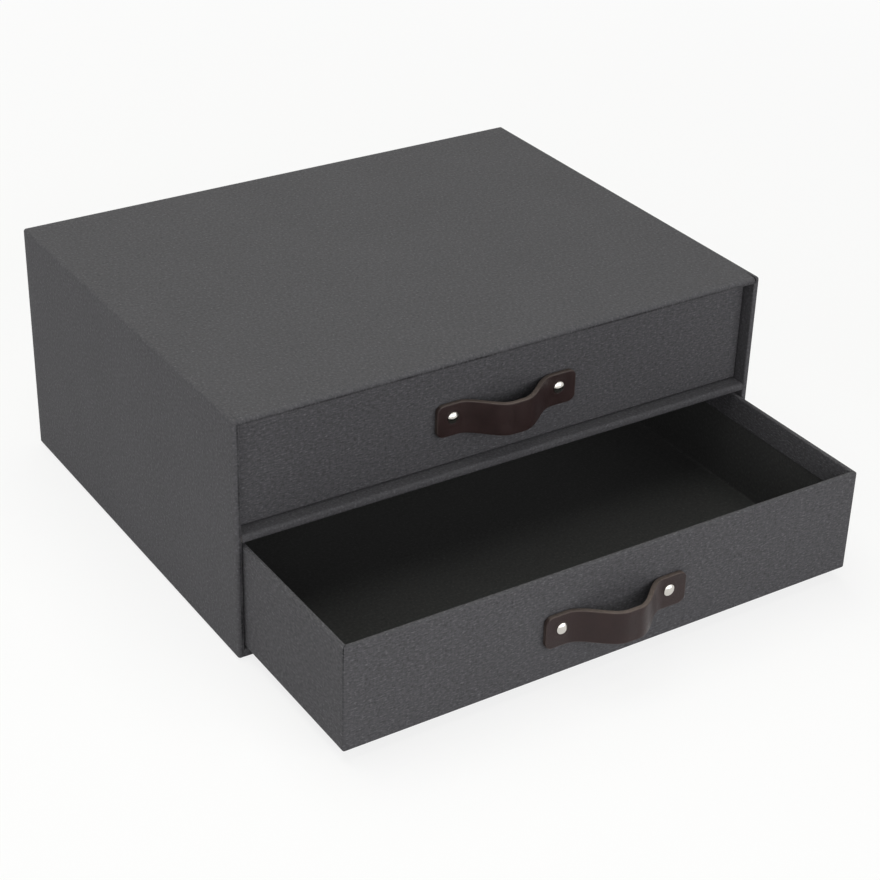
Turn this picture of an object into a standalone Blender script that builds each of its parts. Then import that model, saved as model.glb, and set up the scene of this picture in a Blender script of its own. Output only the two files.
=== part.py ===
"""A paper-covered file box with two drawers, the lower one drawn out.

The case is a shell of greyboard with a fixed shelf, wrapped in one covering paper that turns in at
the mouth. Each drawer is a greyboard tray wrapped the same way and lined, with a bowed leather strap
held by two screws. Lengths are in metres; the case stands on z = 0 and its mouth faces -Y.
"""

import math

import bmesh
import bpy

# The case, as a user would measure it
CASE_WIDTH = 0.330
CASE_DEPTH = 0.260
LOWER_BAY_HEIGHT = 0.0642
UPPER_BAY_HEIGHT = 0.0630

# The sheets and boards that everything is laid up from
PAPER = 0.0004
SHEET = 0.0003
GLUE_LINE = 0.0003
CASE_BOARD = 0.0022
BOTTOM_BOARD = 0.0040
SHELF_BOARD = 0.0034
DRAWER_BOARD = 0.0014
DRAWER_FLOOR_BOARD = 0.0015
BOARD_CHAMFER = 0.0004

# How the papers are folded
OUTER_FOLD_RADIUS = 0.0012
INNER_FOLD_RADIUS = 0.0008
INSIDE_CORNER_RADIUS = 0.0003
CASE_TURN_IN = 0.015
DRAWER_TURN_IN = 0.016
FLANGE_WIDTH = 0.015
SHEET_MARGIN = 0.003

# How the drawers sit in their bays
RUNNING_GAP = 0.0003
UPPER_HEADROOM = 0.0007
LOWER_HEADROOM = 0.0019
SIDE_CLEARANCE = 0.0015
REAR_CLEARANCE = 0.0010
CLOSED_RECESS = 0.0075
LOWER_DRAWER_DRAWN_OUT = 0.1073
UPPER_DRAWER_SHIFT_SHARE = 0.6
LOWER_DRAWER_SHIFT_SHARE = -0.55

# The leather straps and the screws that hold them
STRAP_LENGTH = 0.0885
STRAP_WIDTH = 0.0192
STRAP_THICKNESS = 0.0028
STRAP_BOW = 0.0152
STRAP_CROWN_HALF_LENGTH = 0.003
STRAP_CORNER_RADIUS = 0.0045
UPPER_STRAP_HEIGHT_SHARE = 0.460
LOWER_STRAP_HEIGHT_SHARE = 0.477
STRAP_SHIFT = -0.0006
UPPER_STRAP_LEAN = -0.0019
LOWER_STRAP_LEAN = 0.0009
SCREW_SPACING = 0.0674
SCREW_SHIFT = -0.0008
SCREW_RISE = 0.0013
SCREW_HEAD_DIAMETER = 0.0069
SCREW_HEAD_RIM = 0.0005
SCREW_HEAD_DOME = 0.0014
SCREW_POST_DIAMETER = 0.0040
SCREW_BORE_DIAMETER = 0.0026
SCREW_BORE_FLOOR = 0.0010
CAP_DIAMETER = 0.0080
CAP_THICKNESS = 0.0012
CUT_OVERRUN = 0.002

# How finely the round shapes are divided
FOLD_STEPS = 3
STRAP_STEPS = 48
STRAP_CORNER_STEPS = 5
DOME_STEPS = 5
ROUND_SIDES = 24
SHARP_ANGLE = math.radians(40)

# What follows from the sizes above
LAYER = PAPER + GLUE_LINE
SHEET_LAYER = SHEET + GLUE_LINE
CASE_WALL = 2 * LAYER + CASE_BOARD
CASE_BOTTOM = SHEET_LAYER + 2 * LAYER + BOTTOM_BOARD
SHELF_THICKNESS = 2 * LAYER + SHELF_BOARD
LOWER_BAY_FLOOR = CASE_BOTTOM
SHELF_UNDERSIDE = LOWER_BAY_FLOOR + LOWER_BAY_HEIGHT
UPPER_BAY_FLOOR = SHELF_UNDERSIDE + SHELF_THICKNESS
CASE_HEIGHT = UPPER_BAY_FLOOR + UPPER_BAY_HEIGHT + CASE_WALL
CASE_FRONT = -CASE_DEPTH / 2
CASE_BACK = CASE_DEPTH / 2
WRAP_BACK = CASE_BACK - SHEET_LAYER
BAY_BACK = WRAP_BACK - CASE_WALL
MOUTH_HALF_WIDTH = CASE_WIDTH / 2 - CASE_WALL
DRAWER_WALL = 2 * LAYER + DRAWER_BOARD
DRAWER_WIDTH = 2 * (MOUTH_HALF_WIDTH - SIDE_CLEARANCE)
DRAWER_DEPTH = BAY_BACK - REAR_CLEARANCE - CASE_FRONT - CLOSED_RECESS
DRAWER_FLOOR = SHEET_LAYER + LAYER + DRAWER_FLOOR_BOARD + GLUE_LINE
STRAP_FOOT = SCREW_SPACING / 2 - SCREW_HEAD_DIAMETER / 2

UPPER_DRAWER_HEIGHT = UPPER_BAY_HEIGHT - RUNNING_GAP - UPPER_HEADROOM
LOWER_DRAWER_HEIGHT = LOWER_BAY_HEIGHT - RUNNING_GAP - LOWER_HEADROOM

# Each drawer's name and height, the middle of its front's lower edge as it stands,
# and how high its strap is set and how far the strap's bow leans
UPPER_DRAWER = (
    "upper_drawer",
    UPPER_DRAWER_HEIGHT,
    (UPPER_DRAWER_SHIFT_SHARE * SIDE_CLEARANCE, CASE_FRONT + CLOSED_RECESS, UPPER_BAY_FLOOR + RUNNING_GAP),
    UPPER_STRAP_HEIGHT_SHARE,
    UPPER_STRAP_LEAN,
)
LOWER_DRAWER = (
    "lower_drawer",
    LOWER_DRAWER_HEIGHT,
    (
        LOWER_DRAWER_SHIFT_SHARE * SIDE_CLEARANCE,
        CASE_FRONT + CLOSED_RECESS - LOWER_DRAWER_DRAWN_OUT,
        LOWER_BAY_FLOOR + RUNNING_GAP,
    ),
    LOWER_STRAP_HEIGHT_SHARE,
    LOWER_STRAP_LEAN,
)


def clear_scene():
    for thing in list(bpy.data.objects):
        bpy.data.objects.remove(thing)


def finish(name, colour, roughness, metallic=0.0):
    """A plain material in linear colour."""
    material = bpy.data.materials.new(name)
    material.use_nodes = True
    shader = material.node_tree.nodes["Principled BSDF"]
    shader.inputs["Base Color"].default_value = (*colour, 1.0)
    shader.inputs["Roughness"].default_value = roughness
    shader.inputs["Metallic"].default_value = metallic
    return material


def make_finishes():
    return {
        "covering": finish("grey_covering_paper", (0.075, 0.075, 0.079), 0.75),
        "lining": finish("black_lining_paper", (0.012, 0.012, 0.012), 0.8),
        "board": finish("greyboard", (0.23, 0.21, 0.19), 0.9),
        "leather": finish("brown_leather", (0.035, 0.021, 0.018), 0.5),
        "metal": finish("nickel_plate", (0.72, 0.69, 0.64), 0.25, 1.0),
    }


def object_from(name, mesh_maker, material, parent=None):
    """Turns a finished bmesh into a named object with its faces pointing out."""
    bmesh.ops.recalc_face_normals(mesh_maker, faces=mesh_maker.faces)
    mesh = bpy.data.meshes.new(name)
    mesh_maker.to_mesh(mesh)
    mesh_maker.free()
    mesh.materials.append(material)
    mesh.shade_smooth()
    mesh.set_sharp_from_angle(angle=SHARP_ANGLE)
    made = bpy.data.objects.new(name, mesh)
    bpy.context.scene.collection.objects.link(made)
    made.parent = parent
    return made


def grown(rectangle, amount):
    """The rectangle (low a, low b, high a, high b) with every side moved out by amount."""
    low_a, low_b, high_a, high_b = rectangle
    return (low_a - amount, low_b - amount, high_a + amount, high_b + amount)


def round_outline(rectangle, radius):
    """The rectangle's outline with a quarter circle at each corner."""
    low_a, low_b, high_a, high_b = grown(rectangle, -radius)
    corners = ((high_a, low_b), (high_a, high_b), (low_a, high_b), (low_a, low_b))
    points = []
    for quarter, (a, b) in enumerate(corners):
        for step in range(FOLD_STEPS + 1):
            angle = math.pi / 2 * (quarter - 1 + step / FOLD_STEPS)
            points.append((a + radius * math.cos(angle), b + radius * math.sin(angle)))
    return points


def upright(a, b, level):
    """Rings that lie flat and are stacked along Z."""
    return (a, b, level)


def lying(a, b, level):
    """Rings that stand across the depth and are stacked along Y."""
    return (a, level, b)


def along_width(a, b, level):
    """Rings that are side views and are stacked along X."""
    return (level, a, b)


def skin(rings, place, closed):
    """A mesh through rings of equal counts, joined end to start when closed and capped otherwise."""
    made = bmesh.new()
    loops = [[made.verts.new(place(a, b, level)) for a, b in outline] for outline, level in rings]
    pairs = list(zip(loops, loops[1:]))
    if closed:
        pairs.append((loops[-1], loops[0]))
    else:
        made.faces.new(loops[0])
        made.faces.new(loops[-1])
    for first, second in pairs:
        for index in range(len(first)):
            after = (index + 1) % len(first)
            made.faces.new((first[index], first[after], second[after], second[index]))
    return made


def wrap_rings(outer, inner, foot, rim, turn_in, flange):
    """A paper folded over a tray's walls, as rings from its flange under the foot round to the flange.

    outer and inner are the rectangles of the wall's two faces, foot and rim the levels that the
    paper starts and turns over at.
    """
    up = math.copysign(1.0, rim - foot)
    rings = []

    def ring(rectangle, radius, level):
        rings.append((round_outline(rectangle, max(radius, INSIDE_CORNER_RADIUS)), level))

    def outside(inset, level):
        ring(grown(outer, -inset), OUTER_FOLD_RADIUS - inset, level)

    def inside(outset, level):
        ring(grown(inner, outset), INSIDE_CORNER_RADIUS + outset, level)

    turns = [math.pi / 2 * step / FOLD_STEPS for step in range(FOLD_STEPS + 1)]
    bend = [(1 - math.cos(turn), 1 - math.sin(turn)) for turn in turns]
    under, tight = INNER_FOLD_RADIUS - PAPER, OUTER_FOLD_RADIUS - PAPER
    outside(flange, foot)
    for along, aside in bend:
        outside(OUTER_FOLD_RADIUS * aside, foot + up * OUTER_FOLD_RADIUS * along)
    for along, aside in bend:
        outside(OUTER_FOLD_RADIUS * along, rim - up * OUTER_FOLD_RADIUS * aside)
    for along, aside in bend:
        inside(INNER_FOLD_RADIUS * aside, rim - up * INNER_FOLD_RADIUS * along)
    inside(0, rim - up * turn_in)
    inside(PAPER, rim - up * turn_in)
    for along, aside in reversed(bend):
        inside(PAPER + under * aside, rim - up * (PAPER + under * along))
    for along, aside in reversed(bend):
        outside(PAPER + tight * along, rim - up * (PAPER + tight * aside))
    for along, aside in reversed(bend):
        outside(PAPER + tight * aside, foot + up * (PAPER + tight * along))
    outside(flange, foot + up * PAPER)
    return rings


def tray_rings(inner, floor, rim):
    """A lining pressed into a tray: its walls stand outside the inner rectangle, its floor below."""
    up = math.copysign(1.0, rim - floor)
    outer_outline = round_outline(grown(inner, PAPER), INSIDE_CORNER_RADIUS + PAPER)
    inner_outline = round_outline(inner, INSIDE_CORNER_RADIUS)
    return [
        (outer_outline, floor),
        (outer_outline, rim),
        (inner_outline, rim),
        (inner_outline, floor + up * PAPER),
    ]


def board(name, low, high, material, parent=None, chamfer=BOARD_CHAMFER):
    """A flat sheet or board between two corners, its edges broken by the chamfer."""
    made = bmesh.new()
    bmesh.ops.create_cube(made, size=1.0)
    for vertex in made.verts:
        for axis in range(3):
            vertex.co[axis] = high[axis] if vertex.co[axis] > 0 else low[axis]
    if chamfer:
        bmesh.ops.bevel(made, geom=made.edges[:], offset=chamfer, segments=1, affect="EDGES")
    return object_from(name, made, material, parent)


def make_case_boards(finishes):
    half_width = CASE_WIDTH / 2 - LAYER
    front, back = CASE_FRONT + LAYER, WRAP_BACK - LAYER
    bottom_low = SHEET_LAYER + LAYER
    bottom_high = bottom_low + BOTTOM_BOARD
    top_high = CASE_HEIGHT - LAYER
    top_low = top_high - CASE_BOARD
    wall_low, wall_high = bottom_high + GLUE_LINE, top_low - GLUE_LINE
    inner_half = half_width - CASE_BOARD
    back_half = inner_half - GLUE_LINE
    grey = finishes["board"]
    board("case_bottom_board", (-half_width, front, bottom_low), (half_width, back, bottom_high), grey)
    board("case_top_board", (-half_width, front, top_low), (half_width, back, top_high), grey)
    board("case_left_side_board", (-half_width, front, wall_low), (-inner_half, back, wall_high), grey)
    board("case_right_side_board", (inner_half, front, wall_low), (half_width, back, wall_high), grey)
    board("case_back_board", (-back_half, back - CASE_BOARD, wall_low), (back_half, back, wall_high), grey)


def make_case_papers(finishes):
    outer = (-CASE_WIDTH / 2, SHEET_LAYER, CASE_WIDTH / 2, CASE_HEIGHT)
    mouth = (-MOUTH_HALF_WIDTH, LOWER_BAY_FLOOR, MOUTH_HALF_WIDTH, CASE_HEIGHT - CASE_WALL)
    covering = wrap_rings(outer, mouth, WRAP_BACK, CASE_FRONT, CASE_TURN_IN, FLANGE_WIDTH)
    object_from("case_covering_paper", skin(covering, lying, True), finishes["covering"])
    lining = tray_rings(mouth, BAY_BACK + PAPER, CASE_FRONT + CASE_TURN_IN + GLUE_LINE)
    object_from("case_lining_paper", skin(lining, lying, False), finishes["lining"])
    half_width = CASE_WIDTH / 2 - SHEET_MARGIN
    board(
        "case_base_sheet",
        (-half_width, CASE_FRONT + SHEET_MARGIN, 0),
        (half_width, WRAP_BACK - SHEET_MARGIN, SHEET),
        finishes["covering"],
        chamfer=0,
    )
    board(
        "case_back_sheet",
        (-half_width, CASE_BACK - SHEET, SHEET_LAYER + SHEET_MARGIN),
        (half_width, CASE_BACK, CASE_HEIGHT - SHEET_MARGIN),
        finishes["covering"],
        chamfer=0,
    )


def shelf_outline():
    """The shelf paper from the side: back along the top, round the front edge, and inside again."""
    back = BAY_BACK - GLUE_LINE
    points = []
    for inset, radius in ((0, OUTER_FOLD_RADIUS), (PAPER, OUTER_FOLD_RADIUS - PAPER)):
        low, high = SHELF_UNDERSIDE + inset, UPPER_BAY_FLOOR - inset
        front = CASE_FRONT + inset
        run = [(back, high)]
        for step in range(FOLD_STEPS + 1):
            angle = math.pi / 2 * (1 + step / FOLD_STEPS)
            run.append((front + radius * (1 + math.cos(angle)), high - radius * (1 - math.sin(angle))))
        for step in range(FOLD_STEPS + 1):
            angle = math.pi / 2 * (2 + step / FOLD_STEPS)
            run.append((front + radius * (1 + math.cos(angle)), low + radius * (1 + math.sin(angle))))
        run.append((back, low))
        points += run if inset == 0 else run[::-1]
    return points


def make_shelf(finishes):
    half_width = MOUTH_HALF_WIDTH - GLUE_LINE
    board(
        "case_shelf_board",
        (-half_width, CASE_FRONT + LAYER, SHELF_UNDERSIDE + LAYER),
        (half_width, BAY_BACK - GLUE_LINE, UPPER_BAY_FLOOR - LAYER),
        finishes["board"],
    )
    outline = shelf_outline()
    paper = skin([(outline, -half_width), (outline, half_width)], along_width, False)
    object_from("case_shelf_paper", paper, finishes["covering"])


def make_slide(name, place):
    """An empty at the middle of the drawer's front, on its underside: the drawer slides with it."""
    slide = bpy.data.objects.new(name + "_slide", None)
    bpy.context.scene.collection.objects.link(slide)
    slide.location = place
    return slide


def make_drawer_boards(name, height, slide, finishes):
    half_width = DRAWER_WIDTH / 2 - LAYER
    front, back = LAYER, DRAWER_DEPTH - LAYER
    floor_low = SHEET_LAYER + LAYER
    floor_high = floor_low + DRAWER_FLOOR_BOARD
    low, high = floor_high + GLUE_LINE, height - LAYER
    inner_half = half_width - DRAWER_BOARD
    side_front = front + DRAWER_BOARD + GLUE_LINE
    side_back = back - DRAWER_BOARD - GLUE_LINE
    grey = finishes["board"]
    boards = {
        "floor_board": ((-half_width, front, floor_low), (half_width, back, floor_high)),
        "front_board": ((-half_width, front, low), (half_width, front + DRAWER_BOARD, high)),
        "back_board": ((-half_width, back - DRAWER_BOARD, low), (half_width, back, high)),
        "left_side_board": ((-half_width, side_front, low), (-inner_half, side_back, high)),
        "right_side_board": ((inner_half, side_front, low), (half_width, side_back, high)),
    }
    made = {part: board(name + "_" + part, *corners, grey, slide) for part, corners in boards.items()}
    return made["front_board"]


def make_drawer_papers(name, height, slide, finishes):
    outer = (-DRAWER_WIDTH / 2, 0, DRAWER_WIDTH / 2, DRAWER_DEPTH)
    inner = grown(outer, -DRAWER_WALL)
    wrap = wrap_rings(outer, inner, SHEET_LAYER, height, DRAWER_TURN_IN, FLANGE_WIDTH)
    covering = object_from(name + "_covering_paper", skin(wrap, upright, True), finishes["covering"], slide)
    tray = tray_rings(inner, DRAWER_FLOOR, height - DRAWER_TURN_IN - GLUE_LINE)
    lining = object_from(name + "_lining_paper", skin(tray, upright, False), finishes["lining"], slide)
    low_x, low_y, high_x, high_y = grown(outer, -SHEET_MARGIN)
    low, high = (low_x, low_y, 0), (high_x, high_y, SHEET)
    board(name + "_base_sheet", low, high, finishes["covering"], slide, chamfer=0)
    return covering, lining


def strap_rise(x, lean):
    """How far the strap stands off the drawer's front at x from its screws' middle, its crown at lean."""
    flank = STRAP_FOOT - STRAP_CROWN_HALF_LENGTH - (lean if x > lean else -lean)
    way = (abs(x - lean) - STRAP_CROWN_HALF_LENGTH) / flank
    return STRAP_BOW * (1 + math.cos(math.pi * min(max(way, 0), 1))) / 2


def strap_half_width(x):
    """Half the strap's width at x from its middle, less where its corners are round."""
    past = abs(x) - (STRAP_LENGTH / 2 - STRAP_CORNER_RADIUS)
    if past <= 0:
        return STRAP_WIDTH / 2
    drop = STRAP_CORNER_RADIUS - math.sqrt(max(STRAP_CORNER_RADIUS**2 - past**2, 0))
    return STRAP_WIDTH / 2 - drop


def strap_stations():
    """Places along the strap, closer together round its end corners."""
    straight = STRAP_LENGTH / 2 - STRAP_CORNER_RADIUS
    middle = [straight * (2 * step / STRAP_STEPS - 1) for step in range(STRAP_STEPS + 1)]
    turns = [math.pi / 2 * step / STRAP_CORNER_STEPS for step in range(1, STRAP_CORNER_STEPS + 1)]
    end = [straight + STRAP_CORNER_RADIUS * math.sin(angle) for angle in turns]
    return [-x for x in reversed(end)] + middle + end


def make_strap(name, centre, lean, slide, finishes):
    """A leather strap whose ends lie on the drawer's front and whose middle bows out for the fingers."""
    stations = strap_stations()
    step = (STRAP_FOOT - STRAP_CROWN_HALF_LENGTH) / STRAP_STEPS
    rings = []
    for x in stations:
        place = x - SCREW_SHIFT
        slope = (strap_rise(place + step, lean) - strap_rise(place - step, lean)) / (2 * step)
        length = math.hypot(1, slope)
        across, out = -slope / length, 1 / length
        middle = GLUE_LINE + STRAP_THICKNESS / 2 + strap_rise(place, lean)
        half = strap_half_width(x)
        ring = []
        for side, edge in ((-1, -1), (-1, 1), (1, 1), (1, -1)):
            offset = side * STRAP_THICKNESS / 2
            ring.append((centre[0] + x + offset * across, -(middle + offset * out), centre[1] + edge * half))
        rings.append(ring)
    made = bmesh.new()
    loops = [[made.verts.new(point) for point in ring] for ring in rings]
    made.faces.new(loops[0])
    made.faces.new(loops[-1])
    for first, second in zip(loops, loops[1:]):
        for index in range(4):
            after = (index + 1) % 4
            made.faces.new((first[index], first[after], second[after], second[index]))
    return object_from(name + "_handle_strap", made, finishes["leather"], slide)


def turned(name, profile, centre, material, parent):
    """A piece turned about a line along Y at centre (x, z): the profile is (radius, y) from end to end."""
    made = bmesh.new()
    centre_x, centre_z = centre
    loops = []
    for radius, y in profile:
        if radius == 0:
            loops.append([made.verts.new((centre_x, y, centre_z))])
            continue
        angles = [2 * math.pi * side / ROUND_SIDES for side in range(ROUND_SIDES)]
        loops.append(
            [
                made.verts.new((centre_x + radius * math.cos(turn), y, centre_z + radius * math.sin(turn)))
                for turn in angles
            ]
        )
    for first, second in zip(loops, loops[1:]):
        for index in range(ROUND_SIDES):
            after = (index + 1) % ROUND_SIDES
            around = [first[index % len(first)], first[after % len(first)]]
            around += [second[after % len(second)], second[index % len(second)]]
            made.faces.new(list(dict.fromkeys(around)))
    return object_from(name, made, material, parent)


def screw_profile():
    """A domed head outside the strap, and a hollow post through the strap and the drawer's front."""
    seat = -(2 * GLUE_LINE + STRAP_THICKNESS)
    shoulder = seat - SCREW_HEAD_RIM
    head = SCREW_HEAD_DIAMETER / 2
    dome = []
    for step in range(DOME_STEPS + 1):
        angle = math.pi / 2 * step / DOME_STEPS
        radius = 0 if step == 0 else head * math.sin(angle)
        dome.append((radius, shoulder - SCREW_HEAD_DOME * math.cos(angle)))
    return dome + [
        (head, seat),
        (SCREW_POST_DIAMETER / 2, seat),
        (SCREW_POST_DIAMETER / 2, DRAWER_WALL),
        (SCREW_BORE_DIAMETER / 2, DRAWER_WALL),
        (SCREW_BORE_DIAMETER / 2, seat + SCREW_BORE_FLOOR),
        (0, seat + SCREW_BORE_FLOOR),
    ]


def cap_profile():
    """A flat cap inside the drawer, whose shank goes into the hollow post."""
    under = DRAWER_WALL + GLUE_LINE
    shank = SCREW_BORE_DIAMETER / 2 - GLUE_LINE
    tip = -(2 * GLUE_LINE + STRAP_THICKNESS) + SCREW_BORE_FLOOR + GLUE_LINE
    return [
        (0, tip),
        (shank, tip),
        (shank, under),
        (CAP_DIAMETER / 2, under),
        (CAP_DIAMETER / 2, under + CAP_THICKNESS),
        (0, under + CAP_THICKNESS),
    ]


def make_hole_cutter(name, centre, slide):
    """A rod through the strap and the drawer's front, wider than the post by its clearance."""
    radius = SCREW_POST_DIAMETER / 2 + GLUE_LINE
    outside = -(GLUE_LINE + STRAP_THICKNESS + CUT_OVERRUN)
    inside = DRAWER_WALL + CUT_OVERRUN
    profile = [(0, outside), (radius, outside), (radius, inside), (0, inside)]
    cutter = turned(name, profile, centre, None, slide)
    cutter.hide_render = True
    cutter.display_type = "WIRE"
    return cutter


def bore(pieces, cutter):
    for piece in pieces:
        cut = piece.modifiers.new(cutter.name, "BOOLEAN")
        cut.operation = "DIFFERENCE"
        cut.solver = "EXACT"
        cut.object = cutter


def make_handle(name, strap_height, lean, slide, bored, finishes):
    """The strap with its two screws, each through holes in every layer of the drawer's front."""
    strap = make_strap(name, (STRAP_SHIFT, strap_height), lean, slide, finishes)
    for side, share in (("left", -0.5), ("right", 0.5)):
        centre = (STRAP_SHIFT + SCREW_SHIFT + share * SCREW_SPACING, strap_height + SCREW_RISE)
        bore([strap, *bored], make_hole_cutter(f"{name}_{side}_hole", centre, slide))
        turned(f"{name}_{side}_screw", screw_profile(), centre, finishes["metal"], slide)
        turned(f"{name}_{side}_screw_cap", cap_profile(), centre, finishes["metal"], slide)


def main():
    clear_scene()
    finishes = make_finishes()
    make_case_boards(finishes)
    make_case_papers(finishes)
    make_shelf(finishes)
    for name, height, place, share, lean in (UPPER_DRAWER, LOWER_DRAWER):
        slide = make_slide(name, place)
        front_board = make_drawer_boards(name, height, slide, finishes)
        covering, lining = make_drawer_papers(name, height, slide, finishes)
        make_handle(name, share * height, lean, slide, [front_board, covering, lining], finishes)


main()
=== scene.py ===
"""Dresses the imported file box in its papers, leather straps and screws.

Every piece is made in metres where the case and its two drawers stand at rest, and rides on their
bodies. The file is laid out as an add-on and is run as a script.
"""

import math

import bmesh
import bpy
from bpy.props import FloatProperty, FloatVectorProperty, PointerProperty
from mathutils import Matrix, Quaternion, Vector, noise


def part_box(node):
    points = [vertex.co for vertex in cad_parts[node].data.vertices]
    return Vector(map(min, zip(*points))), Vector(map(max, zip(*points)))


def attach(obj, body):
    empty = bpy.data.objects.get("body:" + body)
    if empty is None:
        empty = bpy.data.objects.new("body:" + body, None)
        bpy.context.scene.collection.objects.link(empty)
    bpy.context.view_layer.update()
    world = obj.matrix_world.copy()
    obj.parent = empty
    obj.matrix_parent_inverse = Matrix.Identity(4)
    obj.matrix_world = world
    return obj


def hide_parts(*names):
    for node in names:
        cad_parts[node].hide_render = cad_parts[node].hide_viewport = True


bl_info = {
    "name": "Paper-Covered File Box",
    "version": (1, 0, 0),
    "blender": (4, 5, 0),
    "location": "3D View > Sidebar > File Box",
    "description": "Papers, leather straps and screws for a file box with two drawers",
    "category": "Object",
}

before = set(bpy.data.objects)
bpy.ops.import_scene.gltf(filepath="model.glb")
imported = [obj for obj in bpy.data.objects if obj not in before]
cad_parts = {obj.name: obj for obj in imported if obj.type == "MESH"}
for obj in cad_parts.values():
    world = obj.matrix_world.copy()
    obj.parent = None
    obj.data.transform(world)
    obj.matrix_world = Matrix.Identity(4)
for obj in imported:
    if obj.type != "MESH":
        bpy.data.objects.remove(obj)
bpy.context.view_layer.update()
DRAWERS = ("upper_drawer", "lower_drawer")
SIDES = ("left", "right")

# How finely the pieces are divided
FOLD_STEPS = 6
HIDDEN_STEPS = 3
LINING_STEPS = 4
WALL_PITCH = 0.008
ROUND_SIDES = 48
DOME_STEPS = 12
STRAP_PITCH = 0.0006
STRAP_ACROSS = 30
STRAP_CORNER_STEPS = 12
EDGE_STEPS = 5
SOFT_ANGLE = math.radians(35)
METAL_ANGLE = math.radians(50)

# Small distances in the papers
STOP_GAP = 0.00002
SIDE_MARGIN = 0.006
TIGHT_CORNER = 0.0003
SLIT_STANDOFF = 0.0006
LAP_STANDOFF = 0.014
SHEET_CORNER = 0.001
SHEET_STEP = 0.0125
SHEET_DIP = 0.0003
LINING_GAP = 0.00003
LINING_FOLD = 0.0008
LINING_CORNER = 0.0004
LINING_TUCK = 0.002
LINING_INSETS = (0.006, 0.02, 0.05)

# How deep the papers are pressed and where, how far that takes to fade, and how far their edges wave
WALL_HOLLOW = 0.00012
HOLLOW_FADE = 0.02
RIM_LINE = 0.00012
RIM_SHARES = (0.15, 0.5, 0.95)
SLIT_DEPTH = 0.0003
MITRE_DEPTH = 0.00014
LAP_DEPTH = 0.00012
CORNER_LINE_DEPTH = 0.0002
CORNER_LINE_FADE = 0.07
TURN_IN_WAVE = 0.00025
SHELF_WAVE = 0.00015

# How strongly cut edges and pressed lines show, from 0 to 1, some of them as painted shade, and how fast the
# leather's edge comes to show
FAINT_SLIT = 0.2
# Painted shade along the pressed line round the top and left of the case's mouth
RIM_SHADE = 0.4
TURN_IN_MARK = 0.5
SHEET_MARK = 0.6
# Painted shade along the pressed line down each drawer's front-left corner
CORNER_LINE_SHADE = 0.9
# Painted shade on the straps' ends: how much of the lighter cut edge is left there
STRAP_END_SHADE = 0.3
EDGE_GROWTH = 1.6

# Small distances in the straps, screws and caps
STRAP_STANDOFF = 0.0001
SLOPE_REACH = 0.0001
SWELL_HEIGHT = 0.00014
SWELL_RADIUS = 0.0044
SWELL_WIDTH = 0.0009
SEAT_DEPTH = 0.00012
SEAT_RADIUS = 0.0037
SEAT_SLOPE = 9000.0
HIDE_WAVE = 0.00005
HEAD_SEAT = 0.00008
POST_SHARE = 0.58
CAP_THICKNESS = 0.0012
CAP_EDGE = 0.00025
SLOT_HALF_WIDTH = 0.0005
SLOT_DEPTH = 0.0005

# Waves of the paper's strands along and across its length, to a thread's width
CASE_STRAND = (0.75, 0.6)
DRAWER_STRAND = (0.42, 1.1)

# The weave's and the flecks' means, which are taken off so that the paper keeps its colour
WEAVE_MEAN = 0.53
FLECK_MEAN = 0.15

# Outputs of a Light Path node: camera, glossy and transmission rays
SEEN_RAYS = (0, 3, 6)
WHITE = (1.0, 1.0, 1.0, 1.0)
LAMP_TARGET = Vector((0.0, 0.0, 0.06))
FLOOR_REACH = 30.0


# Sizes and colours that a user would change


class PaperSettings(bpy.types.PropertyGroup):
    """The papers that cover and line the box."""

    thickness: FloatProperty(
        name="Paper thickness", description="Thickness of every paper", default=0.0004, unit="LENGTH"
    )
    outer_fold: FloatProperty(
        name="Outer fold", description="Radius of the folds round the case", default=0.0017, unit="LENGTH"
    )
    drawer_fold: FloatProperty(
        name="Drawer fold", description="Radius of the folds round a drawer", default=0.0012, unit="LENGTH"
    )
    inner_fold: FloatProperty(
        name="Inner fold", description="Radius of the folds into the box", default=0.0008, unit="LENGTH"
    )
    case_turn_in: FloatProperty(
        name="Case turn-in", description="Depth of the paper inside the mouth", default=0.015, unit="LENGTH"
    )
    drawer_turn_in: FloatProperty(
        name="Drawer turn-in", description="Depth of the paper inside a drawer", default=0.016, unit="LENGTH"
    )
    flange: FloatProperty(
        name="Flange", description="Width of the paper glued under a foot", default=0.015, unit="LENGTH"
    )
    slit: FloatProperty(
        name="Slit", description="Width of the slits and laps between papers", default=0.001, unit="LENGTH"
    )
    thread: FloatProperty(
        name="Thread", description="Distance between the embossed threads", default=0.0011, unit="LENGTH"
    )
    covering_colour: FloatVectorProperty(
        name="Covering",
        description="Colour of the covering paper",
        default=(0.0802, 0.0786, 0.0848),
        subtype="COLOR",
    )
    lining_colour: FloatVectorProperty(
        name="Lining",
        description="Colour of the lining paper",
        default=(0.052, 0.052, 0.052),
        subtype="COLOR",
    )
    board_colour: FloatVectorProperty(
        name="Board", description="Colour of the greyboard", default=(0.23, 0.21, 0.19), subtype="COLOR"
    )


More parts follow.
